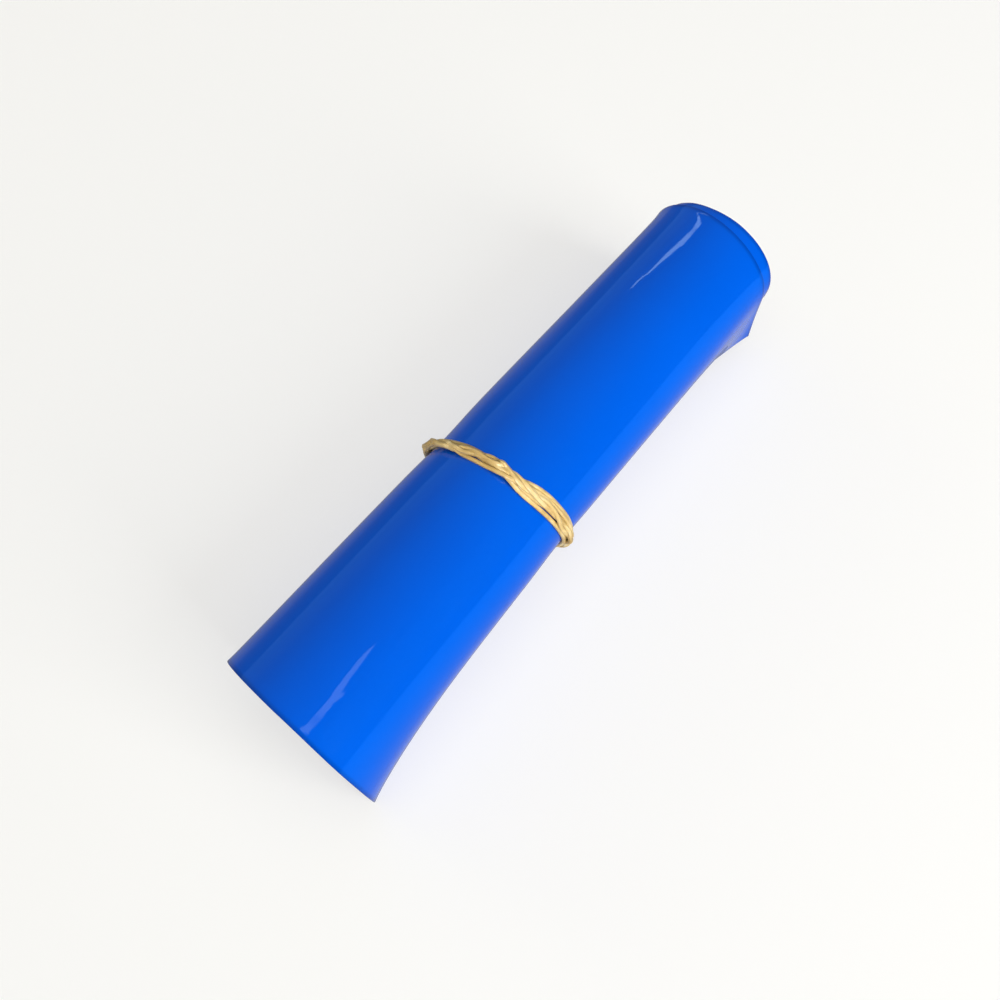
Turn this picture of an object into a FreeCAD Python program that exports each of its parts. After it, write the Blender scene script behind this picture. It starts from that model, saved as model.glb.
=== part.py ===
import FreeCAD, Part
import math
import os

# A length of blue lay-flat PVC heat-shrink sleeve for battery packs, rolled up
# across its width and held by three doubled rubber bands.
# Millimetres. +X runs along the roll towards its tight end, +Z is up, and the
# roll lies on the plane z = 0 as it would on a bench.

V = FreeCAD.Vector

# ---- driving dimensions -------------------------------------------------
WIDTH = 180.0            # lay-flat width of the sleeve, along the roll
PLY = 0.15               # wall of the sleeve
FILM_T = 2 * PLY         # the sleeve lies flat, so every wrap is two plies
PITCH = 0.45             # wrap to wrap in the tight part of the roll
CORE_R = 16.9            # hollow core, inner face of the first wrap
CORE_TURNS = 5           # tight wraps
RAMP_DEG = 60.0          # where each tight wrap climbs over the inner end
LOOSE_TURNS = 2.0        # outer wraps, free to open at the ends
MOUTH_R = 23.5           # outside of the roll at the open end (-X)
TIGHT_R = 20.4           # outside of the roll at the tight end (+X)
TELESCOPE = 3.4          # inner wraps stand out of the outer one at +X
# From the top of the roll to the free end along the film, where along that arc
# the film straightens, and by how much: at the open end, then at the tight end.
FREE_MOUTH, FREE_TIGHT = 61.9, 51.4
FROM_MOUTH, FROM_TIGHT = 8.0, 25.5
TO_MOUTH, TO_TIGHT = 40.0, 37.4
FLARE_MOUTH, FLARE_TIGHT = 0.47, 1.07

BAND_X = -8.2            # where the rubber bands sit
BAND_SKEW = 0.13         # the bands lie slightly across the roll
BAND_W = 2.20            # a doubled band: two strands side by side
BAND_H = 1.15            # and one strand high
BAND_SIDE = 1.18         # two bands lie side by side
BAND_UP = 1.27           # and the third on top of them
BAND_GAP = 0.36          # gap to the film at the top; the skew narrows it at the sides
SKEW_SIDE = 15.0         # degrees: the skew turns the bands about a line this far from +Z


def smooth(u):
    u = max(0.0, min(1.0, u))
    return u * u * (3.0 - 2.0 * u)


def across(v, mouth, tight):
    """A value that runs evenly from the open end to the tight end."""
    return mouth + (tight - mouth) * (v + WIDTH / 2) / WIDTH


def roll_radius(v):
    """Outside radius of the outermost wrap at a distance v along the width."""
    return across(v, MOUTH_R, TIGHT_R)


def flare(v):
    """Share of its curvature that the free end gives up, along the width."""
    if v < BAND_X:
        u = (BAND_X - v) / (BAND_X + WIDTH / 2)
        return FLARE_MOUTH * (0.35 * u + 0.65 * u * u)
    u = (v - BAND_X) / (WIDTH / 2 - BAND_X)
    return FLARE_TIGHT * max(0.0, (u - 0.16) / 0.84) ** 2.46


# Film angle: turn 0 starts at the inner end, and phi = 0 is the top of the
# roll. phi grows from the top over -Y and down, the way the free end points.
R_LOOSE = CORE_R + PITCH * CORE_TURNS          # inner face where the loose wraps start
PHI_TOP = 0.0                                  # the free arc starts at the top
LOOSE_ANGLE = 2 * math.pi * LOOSE_TURNS        # from the start of the loose wraps to the top
PHI_C = PHI_TOP - LOOSE_ANGLE                  # film angle where they start
TOP_INNER = R_LOOSE + PITCH * LOOSE_TURNS      # tight spiral carried on to the top


def shift(a):
    """How far the film stands out along +X at film angle a before the free end's top."""
    turns = -a / (2 * math.pi)
    return TELESCOPE * smooth((turns - 0.05) / 1.0)


def loose_point(a, v, off):
    """A point on the loose wraps: film angle a (0 at the top of the free arc), place v
    along the width, and off outwards from the inner face."""
    R = roll_radius(v)
    extra = R - FILM_T - TOP_INNER
    if a <= 0.0:
        tight = R_LOOSE + PITCH * (a + LOOSE_ANGLE) / (2 * math.pi)
        g = smooth((a + LOOSE_ANGLE) / (LOOSE_ANGLE - 0.6))
        r = tight + extra * g + off
        return V(v + shift(a), -r * math.sin(a), r * math.cos(a))
    s_end = a * (R - FILM_T)
    n = max(2, int(s_end / 0.5) + 1)
    f = flare(v)
    s_from, s_to = across(v, FROM_MOUTH, FROM_TIGHT), across(v, TO_MOUTH, TO_TIGHT)
    y, z, th = 0.0, R - FILM_T, 0.0
    ds = s_end / n
    for i in range(n):
        s = (i + 0.5) * ds
        k = (1.0 - f * smooth((s - s_from) / (s_to - s_from))) / (R - FILM_T)
        mid = th + k * ds / 2
        y -= math.cos(mid) * ds
        z -= math.sin(mid) * ds
        th += k * ds
    return V(v + shift(0.0), y - off * math.sin(th), z + off * math.cos(th))


def free_angle(v, share):
    return across(v, FREE_MOUTH, FREE_TIGHT) * share / (roll_radius(v) - FILM_T)


def film():
    # ---- tight wraps: an exact profile, pulled along X
    x0 = -WIDTH / 2 + TELESCOPE
    faces = []
    ramp = math.radians(RAMP_DEG)
    start = PHI_C - 2 * math.pi * CORE_TURNS

    def at(r, a, x=x0):
        return V(x, -r * math.sin(a), r * math.cos(a))

    def tangent(a):
        return V(0, -math.cos(a), -math.sin(a))

    inner, outer = [], []
    for k in range(CORE_TURNS):
        r = CORE_R + PITCH * k
        a0 = start + 2 * math.pi * k
        a1 = a0 + 2 * math.pi - ramp
        a2 = a0 + 2 * math.pi
        for off, edges in ((0.0, inner), (FILM_T, outer)):
            half = (a0 + a1) / 2
            edges.append(Part.Arc(at(r + off, a0), at(r + off, (a0 + half) / 2), at(r + off, half)).toShape())
            edges.append(Part.Arc(at(r + off, half), at(r + off, (half + a1) / 2), at(r + off, a1)).toShape())
            pts = []
            for i in range(9):
                u = i / 8.0
                pts.append(at(r + off + PITCH * smooth(u), a1 + (a2 - a1) * u))
            b = Part.BSplineCurve()
            b.interpolate(Points=pts, InitialTangent=tangent(a1), FinalTangent=tangent(a2), Scale=True)
            edges.append(b.toShape())
    along = V(WIDTH, 0, 0)
    for e in inner + outer:
        faces.append(e.extrude(along))
    for ei, eo in zip(inner, outer):
        cap = Part.makeRuledSurface(ei, eo)
        faces.append(cap)
        faces.append(cap.translated(along))
    first = Part.makeLine(at(CORE_R, start), at(CORE_R + FILM_T, start))
    faces.append(first.extrude(along))

    # ---- loose wraps and free end: one fair surface each side
    stations = [-90.0, -62.0, -34.0, BAND_X, 20.0, 46.0, 69.0, 90.0]
    n_turn = 12
    steps = int(round(LOOSE_TURNS * n_turn))
    grid = {}
    for name, off in (("in", 0.0), ("out", FILM_T)):
        rows = []
        for i in range(steps + 1):
            a = -LOOSE_ANGLE * (1 - i / float(steps))
            rows.append([loose_point(a, v, off) for v in stations])
        free_steps = 7
        for i in range(1, free_steps + 1):
            rows.append([loose_point(free_angle(v, i / float(free_steps)), v, off) for v in stations])
        grid[name] = rows
    surf = {}
    for name in ("in", "out"):
        s = Part.BSplineSurface()
        s.interpolate(grid[name])
        surf[name] = s
        faces.append(s.toShape())
    u0, u1, v0, v1 = surf["in"].bounds()
    # grid rows run along u, stations along v
    for vv in (v0, v1):
        faces.append(Part.makeRuledSurface(surf["in"].vIso(vv).toShape(), surf["out"].vIso(vv).toShape()))
    faces.append(Part.makeRuledSurface(surf["in"].uIso(u1).toShape(), surf["out"].uIso(u1).toShape()))

    flat = []
    for f in faces:
        flat.extend(f.Faces)
    sewn = Part.makeShell(flat)
    sewn.sewShape(0.02)
    shells = sewn.Shells
    print("film shells", len(shells), [sh.isClosed() for sh in shells], "faces", len(flat))
    solid = Part.Solid(shells[0])
    if solid.Volume < 0:
        solid.reverse()
    solid.fix(0.01, 0.01, 0.02)
    return solid


def band(side, up):
    """One doubled rubber band, gathered to an oval section and laid round the roll."""
    mid = roll_radius(BAND_X) + BAND_GAP + BAND_H / 2 + up
    oval = Part.Ellipse(V(side, 0, mid), BAND_W / 2, BAND_H / 2)
    oval.Axis = V(0, 1, 0)
    oval.XAxis = V(1, 0, 0)
    face = Part.Face(Part.Wire([oval.toShape()]))
    ring = face.revolve(V(0, 0, 0), V(1, 0, 0), 360)
    a = math.radians(SKEW_SIDE)
    ring.rotate(V(0, 0, 0), V(0, -math.sin(a), math.cos(a)), math.degrees(math.atan(BAND_SKEW)))
    ring.translate(V(BAND_X, 0, 0))
    return ring


def main():
    os.makedirs("parts", exist_ok=True)
    parts = {
        "film_sleeve": film(),
        "rubber_band_1": band(-BAND_SIDE, 0.0),
        "rubber_band_2": band(BAND_SIDE, 0.0),
        "rubber_band_3": band(0.0, BAND_UP),
    }
    whole = Part.makeCompound(list(parts.values())).optimalBoundingBox(True, False)
    base = V(-(whole.XMin + whole.XMax) / 2, -(whole.YMin + whole.YMax) / 2, -whole.ZMin)
    print("moved by", base)
    for name, s in parts.items():
        s.translate(base)
        bb = s.optimalBoundingBox(True, False)
        print(name, "valid", s.isValid(), "closed", all(sh.isClosed() for sh in s.Shells), "solids", len(s.Solids),
              "faces", len(s.Faces), "volume", round(s.Volume, 2),
              "x %.3f %.3f y %.3f %.3f z %.3f %.3f" % (bb.XMin, bb.XMax, bb.YMin, bb.YMax, bb.ZMin, bb.ZMax))
        s.exportStep("parts/%s.step" % name)


main()
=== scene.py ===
import math

import bpy
import numpy as np
from mathutils import Matrix, Vector


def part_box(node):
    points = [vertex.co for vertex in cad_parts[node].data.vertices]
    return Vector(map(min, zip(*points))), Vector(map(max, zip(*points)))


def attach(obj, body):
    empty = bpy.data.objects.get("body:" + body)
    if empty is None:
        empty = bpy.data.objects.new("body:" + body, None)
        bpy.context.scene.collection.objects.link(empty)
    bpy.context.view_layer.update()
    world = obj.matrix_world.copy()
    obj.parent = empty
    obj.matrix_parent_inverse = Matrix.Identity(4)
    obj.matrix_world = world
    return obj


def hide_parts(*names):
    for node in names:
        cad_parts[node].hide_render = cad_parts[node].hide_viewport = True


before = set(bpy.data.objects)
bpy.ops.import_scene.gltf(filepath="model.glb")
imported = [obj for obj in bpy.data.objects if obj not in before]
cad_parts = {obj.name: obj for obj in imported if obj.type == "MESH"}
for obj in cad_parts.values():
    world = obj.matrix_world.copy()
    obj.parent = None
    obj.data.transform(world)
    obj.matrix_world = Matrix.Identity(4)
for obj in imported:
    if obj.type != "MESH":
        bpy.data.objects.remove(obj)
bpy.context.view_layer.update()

# ---------------------------------------------------------------- dimensions
# Millimetres about the roll's own axis, as in the CAD; moved to the row frame
# and scaled to metres when a mesh is made.
WIDTH = 180.0
FILM_T = 0.30
PITCH = 0.45
CORE_R = 16.9
CORE_TURNS = 5
LOOSE_TURNS = 2.0
MOUTH_R, TIGHT_R = 23.5, 20.4
TELESCOPE = 3.4
FREE_MOUTH, FREE_TIGHT = 61.9, 51.4
FROM_MOUTH, FROM_TIGHT = 8.0, 25.5
TO_MOUTH, TO_TIGHT = 40.0, 37.4
FLARE_MOUTH, FLARE_TIGHT = 0.47, 1.07
BAND_X = -8.2
BAND_SKEW = 0.13
SKEW_SIDE = math.radians(15.0)
TAU = 2 * math.pi

lo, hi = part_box("rubber_band_3")
AXIS = np.array([(lo.x + hi.x) * 500 - BAND_X, (lo.y + hi.y) * 500, (lo.z + hi.z) * 500])


def to_row(p):
    return (np.asarray(p, float) + AXIS) / 1000.0


def smooth(u):
    u = np.clip(u, 0.0, 1.0)
    return u * u * (3.0 - 2.0 * u)


def across(v, a, b):
    return a + (b - a) * (v + WIDTH / 2) / WIDTH


def roll_radius(v):
    return across(v, MOUTH_R, TIGHT_R)


def flare(v):
    um = (BAND_X - v) / (BAND_X + WIDTH / 2)
    ut = (v - BAND_X) / (WIDTH / 2 - BAND_X)
    m = FLARE_MOUTH * (0.35 * um + 0.65 * um * um)
    t = FLARE_TIGHT * np.maximum(0.0, (ut - 0.16) / 0.84) ** 2.15
    return np.where(v < BAND_X, m, t)


# ---------------------------------------------------------------- film
LOOSE = TAU * LOOSE_TURNS
START = -LOOSE - TAU * CORE_TURNS
R_LOOSE = CORE_R + PITCH * CORE_TURNS
TOP_INNER = R_LOOSE + PITCH * LOOSE_TURNS


def telescope(a):
    """How far a wrap stands out along +X; the roll is wound a little askew."""
    t = -a / TAU
    inner = smooth((t - 0.55) / 0.3)
    side = (a + math.pi) % TAU - math.pi
    bulge = 0.7 * np.exp(-(((side - 0.80) / 0.6) ** 2))
    return (TELESCOPE + 0.62) * smooth((t + 0.28) / 0.95) - 0.62 + inner * bulge


def waves(phi, v):
    """Slow unevenness of the rolled film, the same for every wrap at one place on the roll."""
    w = 0.0
    end_m = smooth((-v - 30.0) / 60.0)
    end_t = smooth((v - 30.0) / 60.0)
    w = w + 0.05 * np.sin(2 * phi + 0.9 + v * 0.011) * (0.4 + end_m + end_t)
    w = w + 0.035 * np.sin(3 * phi - 0.4 - v * 0.017) * (0.3 + end_m)
    w = w + 0.022 * np.sin(5 * phi + 1.7 + v * 0.043) * end_m
    w = w + 0.016 * np.sin(v * 0.19 + 2 * np.sin(phi + 0.5)) * end_m * (0.5 + 0.5 * np.sin(3 * phi))
    w = w + 0.012 * np.sin(v * 0.23 + 1.1 + np.cos(2 * phi)) * end_t
    # the bands pinch the roll to a slight waist
    xc = BAND_X
    w = w - 0.34 * np.exp(-(((v - xc) / 9.0) ** 2)) - 0.12 * np.exp(-(((v - xc) / 26.0) ** 2))
    # shallow creases that run along the roll near its tight end
    back = np.exp(-(((((phi + math.pi) % TAU) - math.pi + 0.72) / 0.34) ** 2)) * smooth((v - 18.0) / 45.0)
    w = w + back * (0.020 * np.sin(24 * phi + 0.030 * v) + 0.012 * np.sin(41 * phi - 0.045 * v + 1.0))
    # a broad dent beside the bands, on the far side
    side = (phi + math.pi) % TAU - math.pi
    w = w + 0.34 * smooth((side + 0.80) / 0.30) * (1 - smooth((side + 0.45) / 1.0)) * np.exp(-(((v - 26.0) / 19.0) ** 2))
    # the roll isn't quite round: it sags on its back and is squeezed out in front at the tight end
    side = (phi + math.pi) % TAU - math.pi
    w = w - (0.22 + 0.18 * smooth(v / 50.0)) * np.exp(-(((side + 1.40) / 0.55) ** 2))
    w = w + 0.45 * smooth((v - 55.0) / 35.0) * np.exp(-(((side - 1.25) / 0.40) ** 2))
    w = w - 0.30 * smooth((v - 60.0) / 30.0) * np.exp(-(((side - 0.38) / 0.50) ** 2))
    return w


def rim(a, v):
    """The folded side edges of the inner wraps turn in a little; the last wrap's edge stands off."""
    edge = WIDTH / 2 - np.abs(v)
    tight = smooth(v / 20.0)
    last = smooth((a + TAU * 1.05) / (TAU * 0.10))
    lift = (0.10 + 0.22 * tight) * np.exp(-edge / 2.4)
    turned = 0.30 * np.exp(-edge / 1.6) + 0.26 * tight * np.exp(-edge / 5.0)
    return last * lift - (1 - last) * turned


def wrap_points(a, v):
    """Inner face on the wraps, a <= 0: arrays that broadcast."""
    turn = (a - START) / TAU
    tight = CORE_R + PITCH * turn
    extra = roll_radius(v) - FILM_T - TOP_INNER
    g = smooth((a + LOOSE) / (LOOSE - 0.6))
    r = tight + extra * g + waves(a, v) + rim(a, v)
    return np.stack([v + telescope(a) + 0 * r, -r * np.sin(a), r * np.cos(a)], -1)


def free_rows(shares, v):
    """Inner face on the free arc, for each share of its length."""
    R = roll_radius(v) - FILM_T
    length = across(v, FREE_MOUTH, FREE_TIGHT)
    f = flare(v)
    s0, s1 = across(v, FROM_MOUTH, FROM_TIGHT), across(v, TO_MOUTH, TO_TIGHT)
    n = 240
    ds = length / n
    y, z, th = np.zeros_like(v), R.copy(), np.zeros_like(v)
    path = [np.stack([y, z, th], -1)]
    for i in range(n):
        s = (i + 0.5) * ds
        k = (1.0 - f * smooth((s - s0) / (s1 - s0))) / R
        mid = th + k * ds / 2
        y = y - np.cos(mid) * ds
        z = z - np.sin(mid) * ds
        th = th + k * ds
        path.append(np.stack([y, z, th], -1))
    path = np.array(path)
    out = []
    for q in shares:
        t = q * n
        i = min(int(t), n - 1)
        p = path[i] * (1 - (t - i)) + path[i + 1] * (t - i)
        w = waves(p[:, 2], v) + rim(0.0, v)
        # away from the roll the free end ripples by itself
        w = w + 0.18 * q * q * np.sin(v * 0.055 + 0.6) * smooth((np.abs(v - BAND_X) - 25) / 40)
        x = v + telescope(q * 1.1) * np.where(v < 0, 1.0, 1.0 - smooth(v / 50.0) * q) - 0.45 * smooth(q * 2.5) * smooth(-v / 80.0)
        out.append(np.stack([x, p[:, 0] - w * np.sin(p[:, 2]), p[:, 1] + w * np.cos(p[:, 2])], -1))
    return np.array(out)


def film_mesh():
    # places along the width: finer near the folded edges
    u = np.linspace(-1, 1, 116)
    v = WIDTH / 2 * (0.72 * u + 0.28 * np.sin(u * math.pi / 2) ** 3)
    v = v / np.abs(v).max() * (WIDTH / 2 - FILM_T / 2)
    inner = np.linspace(START, -TAU * 1.25, int(72 * (CORE_TURNS + LOOSE_TURNS - 1.25)))
    outer = np.linspace(-TAU * 1.25, 0, int(150 * 1.25) + 1)[1:]
    a = np.concatenate([inner, outer])
    wraps = wrap_points(a[:, None], v[None, :])
    free = free_rows(np.linspace(0, 1, 91)[1:], v)
    mid = np.concatenate([wraps, free], 0)          # inner face
    rows, cols = mid.shape[:2]
    # film normals, outwards
    da = np.gradient(mid, axis=0)
    dv = np.gradient(mid, axis=1)
    nrm = np.cross(dv, da)
    nrm /= np.linalg.norm(nrm, axis=-1, keepdims=True)
    if nrm[rows // 2, cols // 2] @ (mid[rows // 2, cols // 2] * [0, 1, 1]) < 0:
        nrm = -nrm
    along = dv / np.linalg.norm(dv, axis=-1, keepdims=True)
    # the folded side edges stay a little fatter than the flat film
    edge = WIDTH / 2 - np.abs(v)
    half = FILM_T / 2 * (1 + 0.35 * np.exp(-edge / 0.9))
    centre = mid + nrm * FILM_T / 2
    top = centre + nrm * half[None, :, None]
    low = centre - nrm * half[None, :, None]
    # round folds at both side edges: a ring of points round the last column
    fold = []
    steps = 5
    for col, sign in ((cols - 1, 1.0), (0, -1.0)):
        ring = []
        for k in range(1, steps):
            t = math.pi * k / steps
            n0 = math.cos(t)
            n1 = math.sin(t)
            ring.append(centre[:, col] + nrm[:, col] * (half[col] * n0) + along[:, col] * (sign * half[col] * n1))
        fold.append(ring)
    right = np.stack(fold[0], 1)
    left = np.stack(fold[1], 1)[:, ::-1]
    loop = np.concatenate([top, right, low[:, ::-1], left], 1)
    m = loop.shape[1]
    verts = loop.reshape(-1, 3)
    i = np.arange(rows - 1)[:, None] * m
    j = np.arange(m)[None, :]
    jn = (j + 1) % m
    quads = np.stack([i + j, i + jn, i + m + jn, i + m + j], -1).reshape(-1, 4)
    faces = quads.tolist()
    verts = verts.tolist()
    # cut ends: the two plies show as two lips with a fine groove between them
    for row, flip in ((0, False), (rows - 1, True)):
        base = row * m
        k = 1 if flip else -1
        drift = (centre[-1] - centre[-2]) if flip else (centre[0] - centre[1])
        drift = drift / np.linalg.norm(drift, axis=-1, keepdims=True)
        groove = centre[row] - drift * 0.10
        lip_t = centre[row] + nrm[row] * (half * 0.5)[:, None] + drift * 0.03
        lip_l = centre[row] - nrm[row] * (half * 0.5)[:, None] + drift * 0.03
        st = len(verts)
        for arr in (lip_t, groove, lip_l):
            verts.extend(arr.tolist())
        T = [base + c for c in range(cols)]
        L = [base + cols + (steps - 1) + (cols - 1 - c) for c in range(cols)]
        strips = [T, [st + c for c in range(cols)], [st + cols + c for c in range(cols)],
                  [st + 2 * cols + c for c in range(cols)], L]
        for s0, s1 in zip(strips, strips[1:]):
            for c in range(cols - 1):
                q = [s0[c], s0[c + 1], s1[c + 1], s1[c]]
                faces.append(q[::-1] if not flip else q)
        # close the two fold sides
        right_ring = [base + cols + k2 for k2 in range(steps - 1)]
        left_ring = [base + 2 * cols + (steps - 1) + k2 for k2 in range(steps - 1)][::-1]
        for ring, c in ((right_ring, cols - 1), (left_ring, 0)):
            poly = [T[c]] + ring + [L[c]] + [strips[3][c], strips[2][c], strips[1][c]]
            if c == 0:
                poly = poly[::-1]
            faces.append(poly if not flip else poly[::-1])
    # nearness of the folded side edges, the mask for the painted shade along the folds
    near = np.exp(-(WIDTH / 2 - np.abs(v) - FILM_T / 2) / 0.42)
    one_row = np.concatenate([near, np.ones(steps - 1), near[::-1], np.ones(steps - 1)])
    fold_shade_mask = np.concatenate([np.tile(one_row, rows), np.tile(near, 6)])
    return np.array(verts), faces, fold_shade_mask


def make_object(name, verts, faces, material, smooth_shade=True):
    me = bpy.data.meshes.new(name)
    me.from_pydata([tuple(p) for p in to_row(verts)], [], faces)
    me.validate()
    bm_fix(me)
    me.materials.append(material)
    if smooth_shade:
        me.polygons.foreach_set("use_smooth", [True] * len(me.polygons))
    me.update()
    ob = bpy.data.objects.new(name, me)
    bpy.context.scene.collection.objects.link(ob)
    return ob


def bm_fix(me):
    import bmesh
    bm = bmesh.new()
    bm.from_mesh(me)
    bmesh.ops.recalc_face_normals(bm, faces=bm.faces)
    bm.to_mesh(me)
    bm.free()


# ---------------------------------------------------------------- materials
def nodes_of(name):
    mat = bpy.data.materials.new(name)
    mat.use_nodes = True
    nt = mat.node_tree
    nt.nodes.clear()
    out = nt.nodes.new("ShaderNodeOutputMaterial")
    bsdf = nt.nodes.new("ShaderNodeBsdfPrincipled")
    nt.links.new(bsdf.outputs[0], out.inputs[0])
    return mat, nt, bsdf


def noise(nt, coord, scale, detail=2.0, rough=0.5, stretch=None):
    n = nt.nodes.new("ShaderNodeTexNoise")
    n.inputs["Scale"].default_value = scale
    n.inputs["Detail"].default_value = detail
    n.inputs["Roughness"].default_value = rough
    if stretch:
        m = nt.nodes.new("ShaderNodeMapping")
        m.inputs["Scale"].default_value = stretch
        nt.links.new(coord, m.inputs[0])
        coord = m.outputs[0]
    nt.links.new(coord, n.inputs["Vector"])
    return n.outputs["Fac"]


def ramp(nt, fac, stops):
    r = nt.nodes.new("ShaderNodeValToRGB")
    els = r.color_ramp.elements
    stops = [(p, (*c, 1.0) if hasattr(c, "__len__") else (c, c, c, 1.0)) for p, c in stops]
    els[0].position, els[0].color = stops[0]
    els[1].position, els[1].color = stops[-1]
    for p, c in stops[1:-1]:
        els.new(p).color = c
    nt.links.new(fac, r.inputs[0])
    return r.outputs[0]


def map_range(nt, fac, a, b):
    m = nt.nodes.new("ShaderNodeMapRange")
    m.inputs["To Min"].default_value = a
    m.inputs["To Max"].default_value = b
    nt.links.new(fac, m.inputs["Value"])
    return m.outputs[0]


def bump(nt, height, strength, distance, normal=None):
    b = nt.nodes.new("ShaderNodeBump")
    b.inputs["Strength"].default_value = strength
    b.inputs["Distance"].default_value = distance
    nt.links.new(height, b.inputs["Height"])
    if normal:
        nt.links.new(normal, b.inputs["Normal"])
    return b.outputs[0]


def film_material():
    mat, nt, bsdf = nodes_of("blue_pvc_film")
    tc = nt.nodes.new("ShaderNodeTexCoord").outputs["Object"]
    # slight clouding of the pigment, and fine die lines that run along the film
    cloud = noise(nt, tc, 18.0, 3.0, 0.5)
    col = ramp(nt, cloud, [(0.30, (0.0002, 0.0930, 0.645)), (0.70, (0.0005, 0.1010, 0.685))])
    # painted shade: the film is darkened along the two folds of the flattened sleeve, standing in for the shadow in
    # the step at each wrap's edge
    fold = nt.nodes.new("ShaderNodeAttribute")
    fold.attribute_name = "fold_shade"
    shade = nt.nodes.new("ShaderNodeMix")
    shade.data_type = "RGBA"
    shade.inputs[0].default_value = 0.0
    nt.links.new(map_range(nt, fold.outputs["Fac"], 0.0, 0.62), shade.inputs[0])
    nt.links.new(col, shade.inputs[6])
    shade.inputs[7].default_value = (0.0001, 0.030, 0.24, 1)
    nt.links.new(shade.outputs[2], bsdf.inputs["Base Color"])
    haze = noise(nt, tc, 55.0, 4.0, 0.6)
    nt.links.new(map_range(nt, haze, 0.016, 0.045), bsdf.inputs["Roughness"])
    lines = noise(nt, tc, 90.0, 2.0, 0.5, stretch=(1.0, 0.05, 0.05))
    pores = noise(nt, tc, 1400.0, 2.0, 0.6)
    n1 = bump(nt, lines, 0.10, 0.00006)
    n2 = bump(nt, pores, 0.05, 0.00002, n1)
    nt.links.new(n2, bsdf.inputs["Normal"])
    bsdf.inputs["IOR"].default_value = 1.50
    bsdf.inputs["Coat Weight"].default_value = 0.0
    return mat


def rubber_material():
    mat, nt, bsdf = nodes_of("natural_rubber_band")
    tc = nt.nodes.new("ShaderNodeTexCoord").outputs["Object"]
    cloud = noise(nt, tc, 160.0, 3.0, 0.6)
    col = ramp(nt, cloud, [(0.28, (0.35, 0.220, 0.065)), (0.50, (0.50, 0.350, 0.135)), (0.75, (0.67, 0.54, 0.29))])
    nt.links.new(col, bsdf.inputs["Base Color"])
    grime = noise(nt, tc, 700.0, 3.0, 0.6)
    nt.links.new(map_range(nt, grime, 0.24, 0.40), bsdf.inputs["Roughness"])
    fine = noise(nt, tc, 2600.0, 3.0, 0.6)
    nt.links.new(bump(nt, fine, 0.25, 0.00006), bsdf.inputs["Normal"])
    bsdf.inputs["IOR"].default_value = 1.52
    bsdf.inputs["Subsurface Weight"].default_value = 0.08
    bsdf.inputs["Subsurface Radius"].default_value = (1.0, 0.70, 0.35)
    bsdf.inputs["Subsurface Scale"].default_value = 0.0004
    return mat


FILM_MAT = film_material()
RUBBER_MAT = rubber_material()

# ---------------------------------------------------------------- film object
fv, ff, fold_shade_mask = film_mesh()
film = make_object("film_wrap", fv, ff, FILM_MAT)
# painted shade: this mask darkens the film along its folded side edges
fold_shade = film.data.attributes.new("fold_shade", "FLOAT", "POINT")
fold_shade.data.foreach_set("value", fold_shade_mask.astype(np.float32))
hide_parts("film_sleeve")
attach(film, "film_roll")

# ---------------------------------------------------------------- rubber bands
STRAND = 1.16           # strand thickness
N = 420                 # places round the roll


# Side offsets (mm along the roll from the middle of the bundle) at film angles
# in degrees, for the two turns of each band. Between -75 and 105 degrees they
# follow the crossing strands on the upper side; the rest is a loose plait.
TURNS = {
    1: [   # the pair that lies on top at the main crossing
        [(-75, -1.2), (-50, -1.3), (-30, -1.9), (-20, -2.2), (-8, -2.1), (4, -1.9), (12, -1.6), (20, -0.5), (28, 0.8), (40, 1.5), (52, 1.5), (66, 1.6), (80, 1.5), (100, 0.9),
         (130, 0.3), (165, -1.0), (200, -0.6), (235, 0.9), (262, 0.6)],
        [(-75, -0.2), (-50, -0.4), (-30, -1.0), (-20, -0.9), (-8, -0.8), (4, -0.9), (12, -0.5), (20, 0.7), (28, 1.9), (40, 2.5), (52, 2.4), (66, 2.5), (80, 2.3), (100, 1.7),
         (130, 1.5), (165, 0.4), (200, 0.6), (235, -0.4), (262, -0.9)],
    ],
    2: [   # the pair that runs under it, from the tight side to the open side
        [(-75, 1.6), (-50, 2.0), (-36, 2.1), (-24, 1.9), (-14, 1.6), (-8, 1.0), (-2, 0.2), (5, -0.8), (12, -1.7), (20, -2.4), (28, -2.9), (40, -2.8), (55, -2.4), (70, -1.9), (85, -1.4), (100, -1.0),
         (130, -1.6), (165, -0.2), (200, 1.5), (235, 1.7), (262, 1.4)],
        [(-75, 0.7), (-50, 1.0), (-36, 1.0), (-24, 1.0), (-14, 0.9), (-8, 0.1), (-2, -0.7), (5, -1.3), (12, -1.2), (20, -1.3), (28, -1.7), (34, -1.8), (42, -1.3), (50, -0.5), (60, 0.0), (70, 0.7), (85, 0.6), (100, 0.2),
         (130, -0.4), (165, 1.2), (200, -1.6), (235, 0.4), (262, 0.3)],
    ],
    3: [   # the slack pair that twists between the other two
        [(-75, -1.8), (-55, -0.2), (-42, -1.6), (-30, -1.5), (-26, -0.6), (-20, 0.4), (-12, 0.5), (-4, 1.5), (4, 2.0), (10, 1.6), (17, 0.6), (25, -0.6), (33, -0.3), (42, -0.4), (50, -1.3), (60, -1.3), (70, -0.4), (85, -0.4), (100, -1.8),
         (130, 1.9), (165, 2.2), (200, 0.2), (235, -1.5), (262, -1.9)],
        [(-75, 0.4), (-55, -1.3), (-42, -0.4), (-32, -2.3), (-27, -1.9), (-20, -0.4), (-12, -0.2), (-4, 0.9), (4, 1.0), (10, 0.7), (17, -0.5), (25, -1.7), (33, -1.1), (42, 0.5), (50, 0.4), (60, -1.0), (70, -1.2), (85, 0.6), (100, 1.4),
         (130, 0.9), (165, -1.8), (200, 1.9), (235, 2.1), (262, 1.9)],
    ],
}
ROPE = 1.0              # the twisted pair lies on the others
LAYER = {1: 0.9, 2: 0.15, 3: 0.45}      # who lies over whom where they meet


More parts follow.
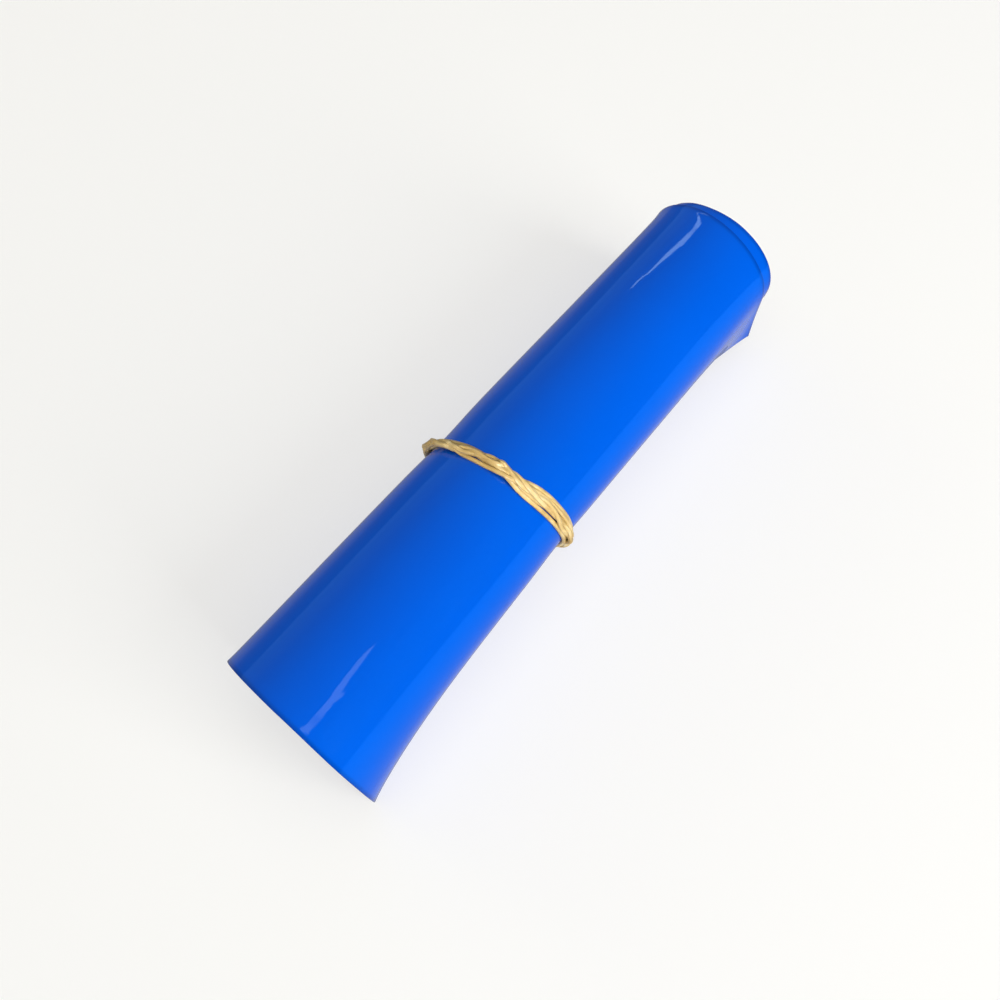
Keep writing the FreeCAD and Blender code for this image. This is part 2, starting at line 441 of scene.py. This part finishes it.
def band_radius(phi, u):
    """Outside of the film under the bands, pinch included."""
    xc = -BAND_SKEW * roll_radius(BAND_X) * (-np.sin(phi) * math.cos(SKEW_SIDE) + np.cos(phi) * math.sin(SKEW_SIDE))
    x = BAND_X + xc + u
    return roll_radius(x) + waves(phi, x), x


def interp_closed(keys, phi):
    k = np.array(keys, float)
    x, y = k[:, 0], k[:, 1]
    return np.interp(phi, x, y)


def strands():
    """Six strands laid over each other: every strand drapes over the ones that lie under it."""
    deg = -75 + 360.0 * np.arange(N) / N
    phi = np.radians(deg)
    path = np.zeros((6, N))
    for b in (1, 2, 3):
        for t in (0, 1):
            keys = TURNS[b][t]
            nxt = TURNS[b][1 - t][0]          # a doubled band: each turn runs on into the other
            path[(b - 1) * 2 + t] = interp_closed(keys + [(285, nxt[1])], deg)

    def along(arr, k):
        out = arr.copy()
        for c in (0, 2, 4):
            line = np.concatenate([arr[c], arr[c + 1]])
            for _ in range(k):
                line = 0.25 * np.roll(line, 1) + 0.5 * line + 0.25 * np.roll(line, -1)
            out[c], out[c + 1] = line[:N], line[N:]
        return out

    path = along(path, 40)
    # the bundle is slim on the far side of the main crossing and fuller on the near side
    w = np.clip((deg + 20) / 45, 0, 1)
    w = w * w * (3 - 2 * w)
    near = np.clip((deg - 130) / 40, 0, 1) * np.clip((285 - deg) / 40, 0, 1)
    slim = 0.52 + 0.26 * w - 0.10 * near
    for c in (0, 2):
        mean, half = (path[c] + path[c + 1]) / 2 * slim, (path[c] - path[c + 1]) / 2
        path[c], path[c + 1] = mean + half * 0.98, mean - half * 0.98
    # the slack band is twisted like a rope; the half twist brings its two turns round to each other
    mean = (path[4] + path[5]) / 2 * slim
    for _ in range(60):
        mean = 0.25 * np.roll(mean, 1) + 0.5 * mean + 0.25 * np.roll(mean, -1)
    spin = 7.5 * phi + 0.8 * np.sin(2 * phi + 0.4)
    level = np.array([LAYER[1]] * 2 + [LAYER[2]] * 2 + [LAYER[3]] * 2)[:, None] * np.ones((6, N))
    for row, sign in ((4, 1.0), (5, -1.0)):
        path[row] = mean + sign * 0.62 * np.cos(spin)
        level[row] = ROPE + 0.35 + sign * 0.5 * np.sin(spin)
    need = STRAND * 0.86
    h = np.full((6, N), STRAND * 0.48)
    rank = np.argsort(level, axis=0)
    col = np.arange(N)
    for n in range(1, 6):
        k = rank[n]
        for m in range(n):
            j = rank[m]
            du = path[k, col] - path[j, col]
            up = h[j, col] + 0.84 * np.sqrt(np.maximum(0.0, need * need - du * du))
            h[k, col] = np.where(np.abs(du) < need, np.maximum(h[k, col], up), h[k, col])
    h = along(h, 9)
    # under the roll its weight presses the bundle flat against the table
    under = np.clip(1 - np.abs(deg - 180) / 75, 0, 1)
    under = np.clip(under * 2.2, 0, 1)
    cap = 3.2 - 1.55 * under * under * (3 - 2 * under)
    low = STRAND * 0.48
    h = low + (cap - low) * np.tanh((h - low) / (cap - low))
    return phi, path, np.maximum(h, STRAND * 0.47), along


def band_mesh(phi, u, h, roll):
    """Sweeps a rounded-square section round both turns of one band."""
    P = []
    for t in (0, 1):
        R, x = band_radius(phi, u[t])
        r = R + h[t] + 0.02
        P.append(np.stack([x, -r * np.sin(phi), r * np.cos(phi)], -1))
    P = np.concatenate(P)
    n = len(P)
    T = np.roll(P, -1, 0) - np.roll(P, 1, 0)
    T /= np.linalg.norm(T, axis=1, keepdims=True)
    out = P * [0, 1, 1]
    out /= np.linalg.norm(out, axis=1, keepdims=True)
    out -= T * (out * T).sum(1, keepdims=True)
    out /= np.linalg.norm(out, axis=1, keepdims=True)
    side = np.cross(T, out)
    k = 18
    q = np.arange(k) * TAU / k
    p = 0.60
    sx = np.sign(np.cos(q)) * np.abs(np.cos(q)) ** p
    sy = np.sign(np.sin(q)) * np.abs(np.sin(q)) ** p
    w, g = STRAND / 2 * 1.02, STRAND / 2 * 0.96
    s = np.arange(n) / n * TAU
    tw = roll[0] + roll[1] * s + roll[2] * np.sin(2 * s + roll[3]) + 0.35 * np.sin(5 * s + roll[3])
    c, d = np.cos(tw)[:, None], np.sin(tw)[:, None]
    swell = 1 + 0.035 * np.sin(9 * s + roll[3])[:, None]
    A = (sx[None] * w * c - sy[None] * g * d) * swell
    B = (sx[None] * w * d + sy[None] * g * c) * swell
    V = P[:, None] + side[:, None] * A[..., None] + out[:, None] * B[..., None]
    i = np.arange(n)[:, None] * k
    j = np.arange(k)[None, :]
    i2 = ((np.arange(n) + 1) % n)[:, None] * k
    jn = (j + 1) % k
    quads = np.stack([i + j, i + jn, i2 + jn, i2 + j], -1).reshape(-1, 4)
    return V.reshape(-1, 3), quads.tolist()


phi, su, sh, _ = strands()
for b in (1, 2, 3):
    idx = [(b - 1) * 2, (b - 1) * 2 + 1]
    V, Q = band_mesh(phi, su[idx], sh[idx], [(0.4, 1, 0.5, 0.2), (0.9, 2, 0.4, 1.3), (0.1, 4, 0.8, 2.2)][b - 1])
    ob = make_object(f"rubber_strands_{b}", V, Q, RUBBER_MAT)
    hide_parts(f"rubber_band_{b}")
    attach(ob, "rubber_bands")

# ---------------------------------------------------------------- stage
def plane(name, size, z, colour, rough):
    me = bpy.data.meshes.new(name)
    s = size / 2
    me.from_pydata([(-s, -s, z), (s, -s, z), (s, s, z), (-s, s, z)], [], [(0, 1, 2, 3)])
    ob = bpy.data.objects.new(name, me)
    bpy.context.scene.collection.objects.link(ob)
    mat, nt, bsdf = nodes_of(name)
    bsdf.inputs["Base Color"].default_value = (*colour, 1)
    bsdf.inputs["Roughness"].default_value = rough
    bsdf.inputs["Specular IOR Level"].default_value = 0.2
    me.materials.append(mat)
    return ob


floor = plane("floor", 8.0, -0.0001, (0.38, 0.38, 0.38), 0.9)
glow = floor.data.materials[0].node_tree.nodes["Principled BSDF"]
glow.inputs["Emission Color"].default_value = (1.0, 0.985, 0.95, 1)     # a softly lit table
glow.inputs["Emission Strength"].default_value = 0.58
floor.visible_glossy = False

# a pale backdrop all round, for the eye only
me = bpy.data.meshes.new("backdrop")
ring = [(4 * math.cos(t), 4 * math.sin(t)) for t in np.linspace(0, TAU, 65)[:-1]]
me.from_pydata([(x, y, -0.2) for x, y in ring] + [(x, y, 4.0) for x, y in ring], [], [(i, (i + 1) % 64, 64 + (i + 1) % 64, 64 + i) for i in range(64)])
backdrop = bpy.data.objects.new("backdrop", me)
bpy.context.scene.collection.objects.link(backdrop)
mat = bpy.data.materials.new("backdrop")
mat.use_nodes = True
nt = mat.node_tree
nt.nodes.clear()
em = nt.nodes.new("ShaderNodeEmission")
em.inputs[0].default_value = (0.9, 0.9, 0.9, 1)
o = nt.nodes.new("ShaderNodeOutputMaterial")
nt.links.new(em.outputs[0], o.inputs[0])
me.materials.append(mat)
for flag in ("visible_glossy", "visible_diffuse", "visible_shadow", "visible_transmission"):
    setattr(backdrop, flag, False)

# a soft room that the gloss picks up: brightness by angle about the roll
world = bpy.data.worlds.new("room")
bpy.context.scene.world = world
world.use_nodes = True
nt = world.node_tree
nt.nodes.clear()
wo = nt.nodes.new("ShaderNodeOutputWorld")
bg = nt.nodes.new("ShaderNodeBackground")
geo = nt.nodes.new("ShaderNodeTexCoord")
sep = nt.nodes.new("ShaderNodeSeparateXYZ")
neg = nt.nodes.new("ShaderNodeMath"); neg.operation = "MULTIPLY"; neg.inputs[1].default_value = -1
at = nt.nodes.new("ShaderNodeMath"); at.operation = "ARCTAN2"
div = nt.nodes.new("ShaderNodeMath"); div.operation = "MULTIPLY_ADD"
div.inputs[1].default_value = 1 / TAU
div.inputs[2].default_value = 0.5
nt.links.new(geo.outputs["Generated"], sep.inputs[0])
nt.links.new(sep.outputs["Y"], neg.inputs[0])
nt.links.new(neg.outputs[0], at.inputs[0])
nt.links.new(sep.outputs["Z"], at.inputs[1])
nt.links.new(at.outputs[0], div.inputs[0])
ROOM = [(-180, 0.25), (-150, 0.28), (-125, 0.30), (-117, 0.26), (-108, 0.15), (-97, 0.10), (-84.5, (0.09, 0.11, 0.14)), (-83, (0.215, 0.40, 0.62)),
        (-75, (0.20, 0.33, 0.48)), (-65, (0.185, 0.25, 0.33)), (-55, 0.15), (-45, 0.132), (-25, 0.093), (-5, 0.066), (15, 0.048), (35, 0.027), (50, 0.010),
        (65, 0.003), (80, 0.001), (96, 0.001), (97.5, (0.060, 0.43, 1.30)), (107, (0.071, 0.42, 1.10)), (115, (0.10, 0.36, 0.80)),
        (125, (0.134, 0.32, 0.55)), (135, (0.19, 0.28, 0.38)), (145, (0.26, 0.31, 0.36)), (155, 0.34), (165, 0.48)]
col = ramp(nt, div.outputs[0], [((a + 180) / 360, c) for a, c in ROOM])
nt.links.new(col, bg.inputs[0])
bg.inputs[1].default_value = 1.0
nt.links.new(bg.outputs[0], wo.inputs[0])


def area(name, where, size, watts, at_point=(0, 0, 0.025), colour=(1, 1, 1), gloss=False, size_y=None):
    d = bpy.data.lights.new(name, "AREA")
    d.energy = watts
    d.color = colour
    d.shape = "RECTANGLE" if size_y else "SQUARE"
    d.size = size
    if size_y:
        d.size_y = size_y
    ob = bpy.data.objects.new(name, d)
    bpy.context.scene.collection.objects.link(ob)
    ob.location = where
    ob.rotation_mode = "QUATERNION"
    ob.rotation_quaternion = (Vector(at_point) - Vector(where)).to_track_quat("-Z", "Y")
    ob.visible_glossy = gloss
    return ob


area("overhead", (0.0, -0.28, 1.58), 2.0, 18)
area("side_key", (0.1, -1.25, 0.74), 0.9, 17.5)
area("fill_back", (-0.1, 1.15, 0.36), 0.6, 2.4, colour=(1.0, 0.98, 0.60))
area("fill_front", (0.1, -1.15, 0.22), 0.6, 3.0, colour=(1.0, 0.98, 0.60))

glint = area("rubber_glint", (-0.52, -0.26, 0.60), 0.12, 5.6, at_point=(0, 0, 0.04), gloss=True)
linked = bpy.data.collections.new("rubber_only")
for b in (1, 2, 3):
    linked.objects.link(bpy.data.objects[f"rubber_strands_{b}"])
glint.light_linking.receiver_collection = linked

# ---------------------------------------------------------------- camera
cam = bpy.data.objects.new("camera", bpy.data.cameras.new("camera"))
bpy.context.scene.collection.objects.link(cam)
bpy.context.scene.camera = cam
cam.data.lens = 36.0
cam.data.sensor_width = 36.0
cam.data.clip_start = 0.01
cam.data.clip_end = 50.0
CAM = to_row([-83.79, -63.57, 258.44])
Rv = Vector((0.639, -0.7695, 0)).normalized()
Fv = Vector((0.2715, 0.2246, -0.9358)).normalized()
Uv = Rv.cross(Fv).normalized()
cam.matrix_world = Matrix((
    (Rv.x, Uv.x, -Fv.x, CAM[0]),
    (Rv.y, Uv.y, -Fv.y, CAM[1]),
    (Rv.z, Uv.z, -Fv.z, CAM[2]),
    (0, 0, 0, 1)))
bpy.context.scene.view_settings.view_transform = "Standard"
bpy.context.scene.view_settings.look = "None"


def outer_point(x, deg):
    a = math.radians(deg)
    v = x - float(telescope(min(a, 0.0)))
    r = float(roll_radius(v) + waves(a, v) + rim(min(a, 0.0), v))
    return np.array([x, -r * math.sin(a), r * math.cos(a)])


def streak_card(name, power, colour, slim, rungs, dist=450.0):
    """A small bright card shaped so that its reflection fills a strip on the roll.
    Each rung of the strip is (x, film angle) on one side and (x, film angle) on the other."""
    c = np.array([-83.79, -63.57, 258.44])
    pts = []
    for x1, a1, x2, a2 in rungs:
        mid, half = (a1 + a2) / 2, (a2 - a1) / 2 * slim
        for x, deg in ((x1, mid - half), (x2, mid + half)):
            p = outer_point(x, deg)
            ta = outer_point(x, deg + 0.5) - outer_point(x, deg - 0.5)
            tx = outer_point(x + 0.5, deg) - outer_point(x - 0.5, deg)
            n = np.cross(tx, ta)
            n /= np.linalg.norm(n)
            if n @ (p * [0, 1, 1]) < 0:
                n = -n
            view = (p - c) / np.linalg.norm(p - c)
            pts.append(p + (view - 2 * (view @ n) * n) * dist)
    me = bpy.data.meshes.new(name)
    me.from_pydata([tuple(q) for q in to_row(pts)], [], [(2 * i, 2 * i + 1, 2 * i + 3, 2 * i + 2) for i in range(len(rungs) - 1)])
    ob = bpy.data.objects.new(name, me)
    bpy.context.scene.collection.objects.link(ob)
    mat = bpy.data.materials.new(name)
    mat.use_nodes = True
    t = mat.node_tree
    t.nodes.clear()
    e = t.nodes.new("ShaderNodeEmission")
    e.inputs[0].default_value = (*colour, 1)
    e.inputs[1].default_value = power
    o = t.nodes.new("ShaderNodeOutputMaterial")
    t.links.new(e.outputs[0], o.inputs[0])
    me.materials.append(mat)
    for flag in ("visible_camera", "visible_diffuse", "visible_shadow", "visible_transmission"):
        setattr(ob, flag, False)
    return ob


streak_card("card_tight_end", 4.0, (0.52, 0.80, 1.0), 0.74, [
    (56.6, -16.3, 56.5, -15.2), (59.1, -16.7, 59.0, -15.1), (61.6, -16.1, 61.5, -14.8), (63.3, -14.7, 63.2, -13.0),
    (65.2, -14.5, 65.0, -12.7), (67.8, -14.6, 67.5, -12.0), (70.3, -14.8, 70.0, -11.2), (72.9, -14.5, 72.4, -10.2),
    (75.4, -13.8, 74.9, -9.4), (77.9, -13.5, 77.5, -8.6), (80.5, -13.1, 80.0, -8.3), (82.4, -12.4, 82.0, -8.5),
    (84.3, -11.9, 84.0, -8.5), (85.6, -11.4, 85.3, -8.5), (87.2, -13.8, 86.6, -8.6)])
streak_card("card_open_end", 1.7, (0.62, 0.86, 0.95), 0.95, [
    (-63.0, 18.3, -63.0, 18.8), (-64.2, 17.9, -64.2, 19.0), (-65.4, 17.4, -65.4, 19.3), (-67.2, 17.2, -67.2, 19.8),
    (-69.1, 17.2, -69.1, 20.4), (-71.0, 17.6, -71.0, 20.7), (-72.8, 17.7, -72.8, 21.0), (-74.7, 18.2, -74.7, 21.9),
    (-76.5, 18.3, -76.5, 22.4), (-78.3, 19.0, -78.3, 22.4), (-79.3, 19.4, -79.2, 22.6), (-80.2, 19.4, -80.2, 23.8),
    (-82.0, 19.4, -82.0, 23.5), (-83.8, 19.4, -83.8, 23.4), (-84.9, 19.4, -84.9, 23.2), (-85.8, 19.7, -85.8, 24.0),
    (-86.5, 20.2, -86.5, 24.2), (-87.4, 19.7, -87.4, 23.1), (-88.3, 19.2, -88.3, 22.0), (-89.1, 20.3, -89.1, 23.7),
    (-89.7, 21.9, -89.7, 24.8)])
